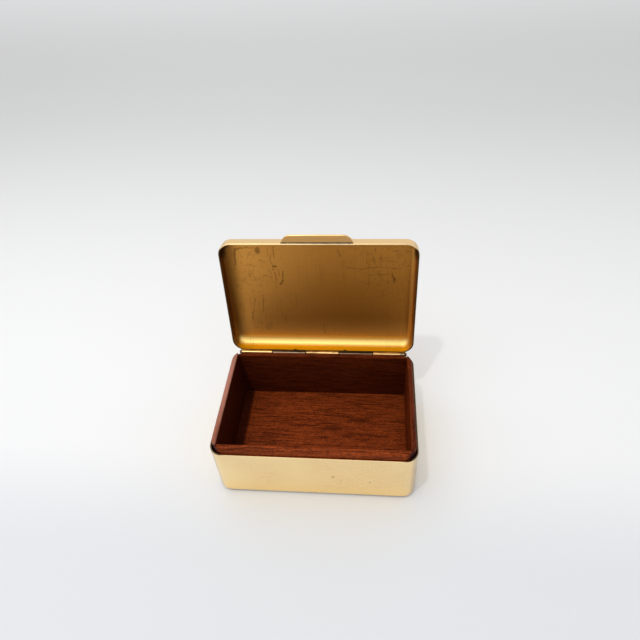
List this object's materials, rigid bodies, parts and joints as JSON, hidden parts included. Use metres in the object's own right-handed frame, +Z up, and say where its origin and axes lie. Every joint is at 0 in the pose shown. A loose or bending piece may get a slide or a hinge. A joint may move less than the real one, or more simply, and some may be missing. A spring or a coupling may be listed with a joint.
{
  "type": "hinged box",
  "caption": "Brass desk box with rounded corners, a hardwood lining that stands proud of the base, a back-hinged lid that stops when open, and a thumb lift.",
  "frame": {"origin": "centre of the flat underside of the base", "axes": "+X along the hinge to the right seen from the front, +Y from the front to the hinge, +Z up"},
  "size_m": [0.17, 0.1452, 0.1767],
  "materials": {
    "base_brass": "polished sheet brass with light specks",
    "lid_brass": "polished outside, tarnished and scratched inside",
    "lift_brass": "polished, softened edges",
    "knuckle_brass": "worn bright tube",
    "pale_knuckle_brass": "paler worn tube",
    "bearer_brass": "drawn strip, dull",
    "pin_brass": "drawn rod",
    "lining_wood": "reddish hardwood, satin polish"
  },
  "bodies": {
    "base": {"base_shell": "base_brass", "lining_floor": "lining_wood", "lining_front": "lining_wood", "lining_back": "lining_wood", "lining_left": "lining_wood", "lining_right": "lining_wood", "base_bearer": "bearer_brass", "base_knuckle_left": "pale_knuckle_brass", "base_knuckle_right": "pale_knuckle_brass"},
    "lid": {"lid_shell": "lid_brass", "thumb_lift": "lift_brass", "lid_bearer": "bearer_brass", "lid_knuckle_left": "knuckle_brass", "lid_knuckle_centre": "knuckle_brass", "lid_knuckle_right": "knuckle_brass", "hinge_pin": "pin_brass"}
  },
  "joints": [
    {"name": "lid_hinge", "type": "hinge", "parent": "base", "child": "lid", "pos_m": [0, 0.0582, 0.0565], "axis": [1, 0, 0], "range_deg": [0, 98.8]}
  ]
}
